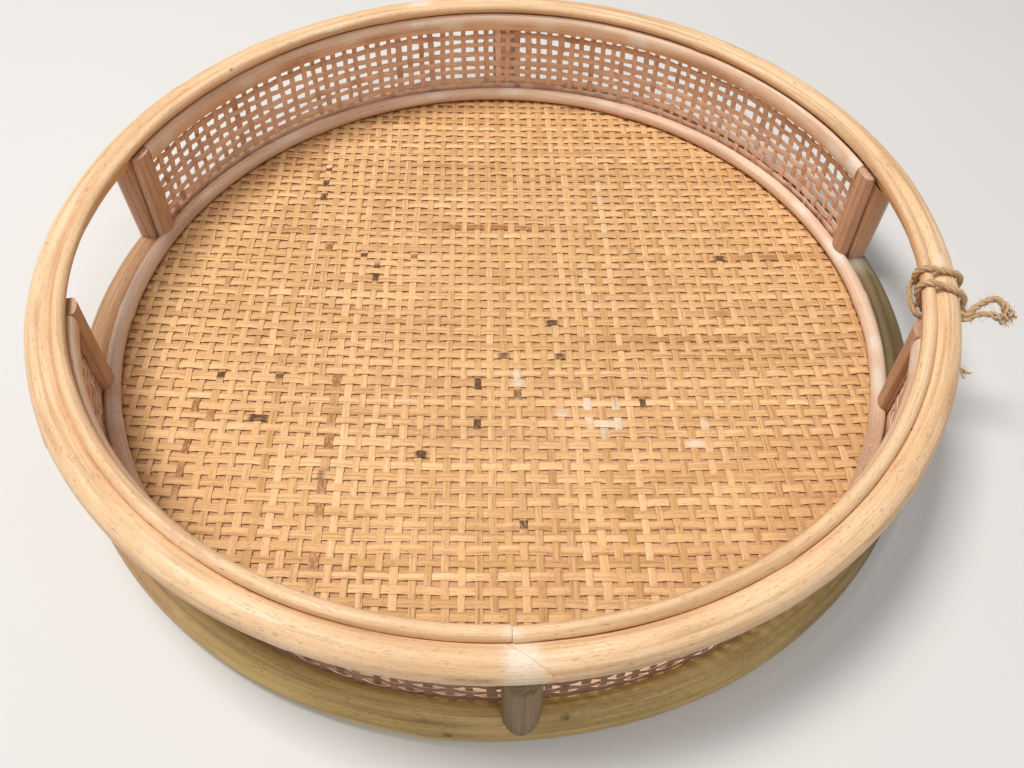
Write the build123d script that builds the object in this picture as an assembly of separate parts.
from build123d import *
import os
from math import sin, cos, acos, radians, degrees, sqrt

# Round rattan gallery tray: a woven-cane floor on a thin board, two bent pole
# hoops one above the other, a low woven-cane wall at the front and at the rear,
# and an open hand hold at the left and at the right.
# Millimetres, +Z up, origin on the resting plane under the centre of the tray.
# The front faces -Y; the hand holds are at -X and +X. Angles are in degrees
# from +X, anticlockwise seen from above. A "hoop" size is a centre-line radius.

# ---------------------------------------------------------------- dimensions
FIT = 0.05                 # gap left between pieces that only touch
KERF = 0.1                 # saw cut of a scarf joint
KERF_SLANT = 52.0          # its angle away from square across the pole, degrees
BUTT_GAP = 0.1             # half the gap of a butt joint, degrees

RIM_R = 6.5                # top rim pole
RIM_HOOP = 406.0 / 2 - RIM_R
RIM_Z = 65.3

TRIM_R = 2.8               # thin trim cane on the inner shoulder of the rim
TRIM_LEAN = 32.0           # how far up the shoulder it sits, degrees
TRIM_COS, TRIM_SIN = cos(radians(TRIM_LEAN)), sin(radians(TRIM_LEAN))
TRIM_HOOP = RIM_HOOP - (RIM_R + TRIM_R + FIT) * TRIM_COS
TRIM_Z = RIM_Z + (RIM_R + TRIM_R + FIT) * TRIM_SIN

RAIL_H = 10.4              # half-round inner top rail: height
RAIL_D = 4.3               # and depth inwards
RAIL_Z = 61.8              # height of its middle
RAIL_END_GAP = 0.04        # gap to the inner corner posts, degrees

BASE_R = 7.3               # base pole
BASE_HOOP = 198.7
SEAT = 0.5                 # depth sanded off under the base pole, so it sits flat
BASE_Z = BASE_R - SEAT

RING_R = 3.7               # inner base ring, holds the floor web down
RING_Z = BASE_Z + 5.2
RING_HOOP = BASE_HOOP - sqrt((BASE_R + RING_R + FIT) ** 2 - (RING_Z - BASE_Z) ** 2)

WEB_T = 1.2                # floor web
WEB_TOP = RING_Z - RING_R - FIT
WEB_OUTER_R = 190.9
BOARD_T = 4.0              # plywood board under the floor web
BOARD_TOP = WEB_TOP - WEB_T - FIT
BOARD_OUTER_R = 191.1

WALL_T = 1.1               # wall web
WALL_TOP = 67.1
WALL_BOT = 12.9
WALL_IN_TOP = 188.68       # radius of its inner face at the top edge
WALL_IN_BOT = 192.78       # and at the bottom edge
WALL_SLOPE = degrees((WALL_IN_BOT - WALL_IN_TOP) / (WALL_TOP - WALL_BOT))
WALL_LAP = 0.7             # how far it runs behind a cheek, as a share of half the cheek

POST_R = 7.0               # outer posts
POST_HOOP_BOT = BASE_HOOP
POST_HOOP_TOP = 197.0
POST_FOOT_Z = 9.8          # their feet end above the resting plane
POST_END_Z = 62.0          # top end of the post blank
POST_HOOP_END = POST_HOOP_TOP - (RIM_Z - POST_END_Z) * 0.03
POST_LIP_Z = 55.3          # height of the outer edge of the bevelled post top
POST_BEVEL = 42.0          # tilt of the bevel, degrees

CHEEK_W = 10.4             # half-round inner corner posts ("cheeks"): width
CHEEK_D = 5.2              # and depth
CHEEK_START_Z = 10.0       # lower end of the cheek blank
CHEEK_BLANK = 62.0         # length of the cheek blank
CHEEK_TOP = 66.2           # height of their flat tops
CHEEK_HALF = degrees(CHEEK_W / 2 / 186.0)  # half the angle a cheek takes up at radius 186

# Corner posts at the ends of the hand holds, and centre posts. The tray is hand
# built, so the holds are not exactly opposite.
CORNERS = {"rear_right": 12.5, "rear_left": 162.3, "front_left": 194.0, "front_right": 341.1}
HOLD_SIDE = {"rear_right": -1, "rear_left": 1, "front_left": -1, "front_right": 1}
CENTRES = {"rear": 88.5, "front": 271.8}
WALLS = {
    "rear": (CORNERS["rear_right"], CORNERS["rear_left"]),
    "front": (CORNERS["front_left"], CORNERS["front_right"]),
}
OUTER_SHIFT = 1.4          # outer corner posts stand this far towards the hold
SHIFT_ANGLE = degrees(OUTER_SHIFT / POST_HOOP_BOT)
POSTS = {"corner_post_" + name: angle + SHIFT_ANGLE * HOLD_SIDE[name]
         for name, angle in CORNERS.items()}
POSTS.update({"centre_post_" + name: angle for name, angle in CENTRES.items()})

RIM_JOINTS = (272.2, 104.2)    # scarf joints of the two half poles of the rim
BASE_JOINT = 92.0              # scarf joint of the base pole, near the rear centre post
TRIM_JOINT = 270.8             # butt joint of the trim cane
RING_JOINT = 200.0             # butt joint of the inner base ring

PIN_R = 0.6                # brad shank
HEAD_R = PIN_R * 1.5
HEAD_T = 0.8
PIN_FIT = 0.02             # clearance round a brad
POINT_FIT = 0.1            # clearance beyond its point
ENTRY = 3.0                # how far a brad hole runs out past the head

TIE_R = 1.6                # jute twine
TIE_ANGLE = -12.6
TURN_OFFSET = 0.62         # each turn to either side of the tie's middle, degrees
KNOT_R = 2.9

CUT = 500.0                # side of the blocks that trim the posts level


# ------------------------------------------------------------------- helpers
def polar(angle, radius, z):
    return Vector(radius * cos(radians(angle)), radius * sin(radians(angle)), z)


def polar_frame(angle, radius, z):
    """Local frame at a point on a hoop: x outwards, y along the hoop, z up."""
    return Pos(polar(angle, radius, z)) * Rot(0, 0, angle)


def hoop(radius, z, pole_r, start=0.0, arc=360.0):
    """Round pole bent to a circle about Z, from start through arc degrees."""
    face = Plane.XZ * Pos(radius, z) * Circle(pole_r)
    return Rot(0, 0, start) * revolve(face, Axis.Z, arc)


def butted_hoop(radius, z, pole_r, joint):
    """Hoop of one length, its ends butted at the joint angle."""
    return hoop(radius, z, pole_r, joint + BUTT_GAP, 360 - 2 * BUTT_GAP)


def saddle(radius, z, pole_r, angle):
    """Cutter that seats a post at the angle on a hoop."""
    return hoop(radius, z, pole_r + FIT, angle - 8, 16)


def scarf(angle, radius, z):
    """Thin upright saw kerf that crosses a hoop at a slant."""
    return polar_frame(angle, radius, z) * Rot(0, 0, KERF_SLANT) * Box(60, KERF, 40)


def below(z):
    """Block from the resting plane up to height z."""
    return Pos(0, 0, z / 2) * Box(CUT, CUT, z)


def rod(start, end, radius):
    """Cylinder from one point to another."""
    along = end - start
    return Plane(origin=start, z_dir=along) * Cylinder(
        radius, along.length, align=(Align.CENTER, Align.CENTER, Align.MIN))


def half_round(width, depth):
    """Half-round section: flat back on x = 0, width along y, depth towards -x."""
    side = width / 2
    flank = -depth * 0.30                                # end of the straight flanks
    shoulder_x, shoulder_y = -depth * 0.86, width * 0.27
    return make_face([
        Line((0, -side), (0, side)),
        Line((0, side), (flank, side)),
        Spline((flank, side), (shoulder_x, shoulder_y), (-depth, 0),
               (shoulder_x, -shoulder_y), (flank, -side)),
        Line((flank, -side), (0, -side)),
    ])


def wall_in(z):
    """Radius of the wall web's inner face at height z."""
    return WALL_IN_TOP + (WALL_TOP - z) * (WALL_IN_BOT - WALL_IN_TOP) / (WALL_TOP - WALL_BOT)


def wall_cone(offset, start, arc, z0, z1, depth):
    """Sheet of the given depth whose inner face is the wall web's inner face
    moved outwards by offset."""
    low, high = wall_in(z0) + offset, wall_in(z1) + offset
    outline = [(low, z0), (high, z1), (high + depth, z1), (low + depth, z0)]
    face = Plane.XZ * make_face(Polyline(*outline, close=True))
    return Rot(0, 0, start) * revolve(face, Axis.Z, arc)


def one(shape):
    """The single solid of a boolean result; fails if there are more."""
    [solid] = shape.solids()
    return solid


def largest(shape):
    return max(shape.solids(), key=lambda solid: solid.volume)


# --------------------------------------------------------------------- brads
def brad_line(angle, head, point):
    """Ends of a brad in the upright plane at the angle; head and point are
    (radius, z)."""
    return polar(angle, *head), polar(angle, *point)


def trim_axis(depth):
    """(radius, z) this far from the trim cane's centre towards the rim pole's."""
    return TRIM_HOOP + depth * TRIM_COS, TRIM_Z - depth * TRIM_SIN


# How far each kind of brad head starts below the surface it is driven into.
SINK = {"rail": 0.2, "trim": 0.2, "ring": 0.25, "cheek": 0.3,
        "post_top": 0.25, "post_foot": 0.3, "board": 0.4, "joint": 0.3}

RAIL_BRADS = (20.1, 41.0, 63.1, 80.6, 98.2, 117.5, 138.0, 156.5,
              201.5, 222.0, 243.5, 262.0, 281.0, 300.5, 319.0, 334.6)
RING_BRADS = [12.2 + i * 360 / 16 for i in range(16)]
RING_BRADS[0], RING_BRADS[8] = 18.0, 188.6          # moved clear of the posts
RING_BRAD_R = RING_HOOP - 0.6
BOARD_BRAD_Z = BOARD_TOP - BOARD_T / 2
BASE_JOINT_BRAD_Z = BASE_Z + 2.5

# through the inner rail and the web into the rim pole
rail_lines = [
    brad_line(angle,
              head=(wall_in(RAIL_Z) - RAIL_D + SINK["rail"], RAIL_Z),
              point=(RIM_HOOP - 1.0, RIM_Z - 0.9))
    for angle in RAIL_BRADS]
# through the trim cane into the rim pole
trim_lines = [
    brad_line(9.0 + i * 360 / 16,
              head=trim_axis(SINK["trim"] - TRIM_R),
              point=trim_axis(TRIM_R + 5.5))
    for i in range(16)]
# down through the inner base ring and the floor web into the board
ring_lines = [
    brad_line(angle,
              head=(RING_BRAD_R, RING_Z + RING_R - SINK["ring"]),
              point=(RING_BRAD_R, BOARD_TOP - 3.0))
    for angle in RING_BRADS]
# through each inner corner post into the outer one, below and above
cheek_lines = [
    brad_line(angle,
              head=(wall_in(z) - CHEEK_D + SINK["cheek"], z),
              point=(wall_in(z) + 9.0, z))
    for angle in CORNERS.values() for z in (24.0, 47.0)]
# through the two poles into the end grain of the outer posts
end_lines = []
for angle in POSTS.values():
    end_lines.append(brad_line(angle,
                               head=(RIM_HOOP + 0.6, RIM_Z + RIM_R - SINK["post_top"]),
                               point=(POST_HOOP_TOP + 0.4, RIM_Z - 25.0)))
    end_lines.append(brad_line(angle,
                               head=(BASE_HOOP, SEAT + SINK["post_foot"]),
                               point=(BASE_HOOP - 0.4, 34.0)))
# through the base pole into the edge of the board
board_lines = [
    brad_line(24.0 + i * 360 / 12,
              head=(BASE_HOOP + BASE_R - SINK["board"], BOARD_BRAD_Z),
              point=(BOARD_OUTER_R - 8.0, BOARD_BRAD_Z))
    for i in range(12)]
# across the scarf joints: joint, offset to either side, hoop, pole radius, height
joint_lines = [
    brad_line(joint + offset,
              head=(radius + pole_r - SINK["joint"], z),
              point=(radius - pole_r + 3.0, z))
    for joint, spacing, radius, pole_r, z in (
        (RIM_JOINTS[0], 1.2, RIM_HOOP, RIM_R, RIM_Z),
        (RIM_JOINTS[1], 1.2, RIM_HOOP, RIM_R, RIM_Z),
        (BASE_JOINT, 1.0, BASE_HOOP, BASE_R, BASE_JOINT_BRAD_Z))
    for offset in (-spacing, spacing)]


def brad(head, point):
    along = (point - head).normalized()
    return one(rod(head, point, PIN_R) + rod(head, head + along * HEAD_T, HEAD_R))


def brad_hole(head, point):
    along = (point - head).normalized()
    entry = head - along * ENTRY
    return (rod(entry, point + along * POINT_FIT, PIN_R + PIN_FIT)
            + rod(entry, head + along * (HEAD_T + PIN_FIT), HEAD_R + PIN_FIT))


def drill(body, lines):
    """Cut the brad holes of every line that can reach the body."""
    box = body.bounding_box()
    holes = [
        brad_hole(head, point) for head, point in lines
        if all(max(a, b) >= low - 2 and min(a, b) <= high + 2
               for a, b, low, high in zip(head, point, box.min, box.max))]
    return body - holes if holes else body


# --------------------------------------------------------------------- parts
def top_rim_poles():
    """Left and right half poles, scarfed together at the front and the rear."""
    rim = hoop(RIM_HOOP, RIM_Z, RIM_R)
    for joint in RIM_JOINTS:
        rim = rim - scarf(joint, RIM_HOOP, RIM_Z)
    lines = rail_lines + trim_lines + end_lines + joint_lines
    left, right = sorted(rim.solids(), key=lambda solid: solid.center().X)
    return one(drill(left, lines)), one(drill(right, lines))


def top_rim_trim_cane():
    return one(drill(butted_hoop(TRIM_HOOP, TRIM_Z, TRIM_R, TRIM_JOINT), trim_lines))


def base_pole():
    """One length, scarfed at the rear, sanded flat underneath."""
    section = Pos(BASE_HOOP, BASE_Z) * Circle(BASE_R) - Pos(BASE_HOOP, -10) * Rectangle(40, 20)
    base = revolve(Plane.XZ * section, Axis.Z, 360) - scarf(BASE_JOINT, BASE_HOOP, BASE_Z)
    return one(drill(base, end_lines + board_lines + joint_lines))


def base_inner_ring():
    return one(drill(butted_hoop(RING_HOOP, RING_Z, RING_R, RING_JOINT), ring_lines))


def floor_disc(radius, top, thickness, lines):
    return one(drill(Pos(0, 0, top - thickness / 2) * Cylinder(radius, thickness), lines))


def wall_web(start, end):
    """Wall web, its ends behind the inner corner posts."""
    lap = CHEEK_HALF * WALL_LAP
    web = wall_cone(0, start - lap, end - start + 2 * lap, WALL_BOT, WALL_TOP, WALL_T)
    return one(drill(web, rail_lines + cheek_lines))


def inner_top_rail(start, end):
    """Half-round rail, butted between the two inner corner posts."""
    section = (Plane.XZ * Pos(wall_in(RAIL_Z) - FIT, RAIL_Z) * Rot(0, 0, WALL_SLOPE)
               * half_round(RAIL_H, RAIL_D))
    gap = CHEEK_HALF + RAIL_END_GAP
    rail = Rot(0, 0, start + gap) * revolve(section, Axis.Z, end - start - 2 * gap)
    return one(drill(rail, rail_lines))


def outer_post(angle):
    """Round post, saddled over the base pole, bevelled under the rim, and
    planed on its inner side where the wall web passes."""
    post = rod(polar(angle, POST_HOOP_BOT, 0), polar(angle, POST_HOOP_END, POST_END_Z), POST_R)
    post = post - below(POST_FOOT_Z)
    bevel = (polar_frame(angle, POST_HOOP_TOP + POST_R + 0.2, POST_LIP_Z) * Rot(0, POST_BEVEL, 0)
             * Box(40, 40, 20, align=(Align.CENTER, Align.CENTER, Align.MIN)))
    post = post - bevel - saddle(RIM_HOOP, RIM_Z, RIM_R, angle)
    post = post - saddle(BASE_HOOP, BASE_Z, BASE_R, angle)
    post = post - wall_cone(-20, angle - 6, 12, 9, WALL_TOP + 3, 20 + WALL_T + FIT)
    return largest(drill(post, end_lines + cheek_lines))


def corner_cheek(angle):
    """Half-round inner corner post, flat side on the web, saddled on the inner
    base ring and cut off level just under the trim cane."""
    frame = (polar_frame(angle, wall_in(CHEEK_START_Z) - FIT, CHEEK_START_Z)
             * Rot(0, -WALL_SLOPE, 0))
    cheek = frame * extrude(half_round(CHEEK_W, CHEEK_D), CHEEK_BLANK)
    cheek = cheek - wall_cone(-FIT, angle - 8, 16, 5, 80, 10)
    cheek = cheek - saddle(RING_HOOP, RING_Z, RING_R, angle)
    cheek = cheek - below(WALL_BOT)
    cheek = cheek - Pos(0, 0, CHEEK_TOP + 20) * Box(CUT, CUT, 40)
    # offcuts below the ring are waste
    return largest(drill(cheek, cheek_lines))


def twine_turn(angle):
    """One closed belt of twine round the rim pole and the trim cane, in the
    upright plane through the tray's axis."""
    rim_bend = RIM_R + TIE_R + FIT
    trim_bend = TRIM_R + TIE_R + FIT
    span = sqrt((TRIM_HOOP - RIM_HOOP) ** 2 + (TRIM_Z - RIM_Z) ** 2)
    spread = degrees(acos((rim_bend - trim_bend) / span))
    lean = 180.0 - TRIM_LEAN               # direction from the rim pole to the trim cane

    def bend(x, z, radius, *directions):
        return [(x + radius * cos(radians(d)), z + radius * sin(radians(d))) for d in directions]

    trim = bend(TRIM_HOOP, TRIM_Z, trim_bend, lean - spread, lean, lean + spread)
    rim = bend(RIM_HOOP, RIM_Z, rim_bend, lean + spread, lean + 180, lean - spread)
    path = Wire([Plane.XZ * ThreePointArc(*trim), Plane.XZ * Line(trim[2], rim[0]),
                 Plane.XZ * ThreePointArc(*rim), Plane.XZ * Line(rim[2], trim[0])])
    turn = sweep(Plane(origin=path @ 0, z_dir=path % 0) * Circle(TIE_R), path=path)
    return Rot(0, 0, angle) * turn


def jute_tie():
    """Two turns of twine in the right hand hold, and a knot low on the outside."""
    knot = Pos(polar(TIE_ANGLE, RIM_HOOP + RIM_R - 0.4, RIM_Z - RIM_R - 1.4)) * Sphere(KNOT_R)
    return one(twine_turn(TIE_ANGLE - TURN_OFFSET) + twine_turn(TIE_ANGLE + TURN_OFFSET) + knot)


parts = {}
parts["top_rim_pole_left"], parts["top_rim_pole_right"] = top_rim_poles()
parts["top_rim_trim_cane"] = top_rim_trim_cane()
parts["base_pole"] = base_pole()
parts["base_inner_ring"] = base_inner_ring()
parts["floor_web"] = floor_disc(WEB_OUTER_R, WEB_TOP, WEB_T, ring_lines)
parts["floor_board"] = floor_disc(BOARD_OUTER_R, BOARD_TOP, BOARD_T, ring_lines + board_lines)
for side, (start, end) in WALLS.items():
    parts["wall_web_" + side] = wall_web(start, end)
    parts["inner_top_rail_" + side] = inner_top_rail(start, end)
for name, angle in POSTS.items():
    parts[name] = outer_post(angle)
for name, angle in CORNERS.items():
    parts["corner_cheek_" + name] = corner_cheek(angle)
for name, lines in {
    "rail_brads": rail_lines,
    "trim_brads": trim_lines,
    "base_ring_brads": ring_lines,
    "corner_post_brads": cheek_lines,
    "post_end_nails": end_lines,
    "board_edge_brads": board_lines,
    "hoop_joint_brads": joint_lines,
}.items():
    parts[name] = Compound(children=[brad(head, point) for head, point in lines])
parts["jute_tie"] = jute_tie()

# -------------------------------------------------------------------- export
os.makedirs("parts", exist_ok=True)
for name, solid in parts.items():
    solid.label = name
    export_step(solid, "parts/" + name + ".step")
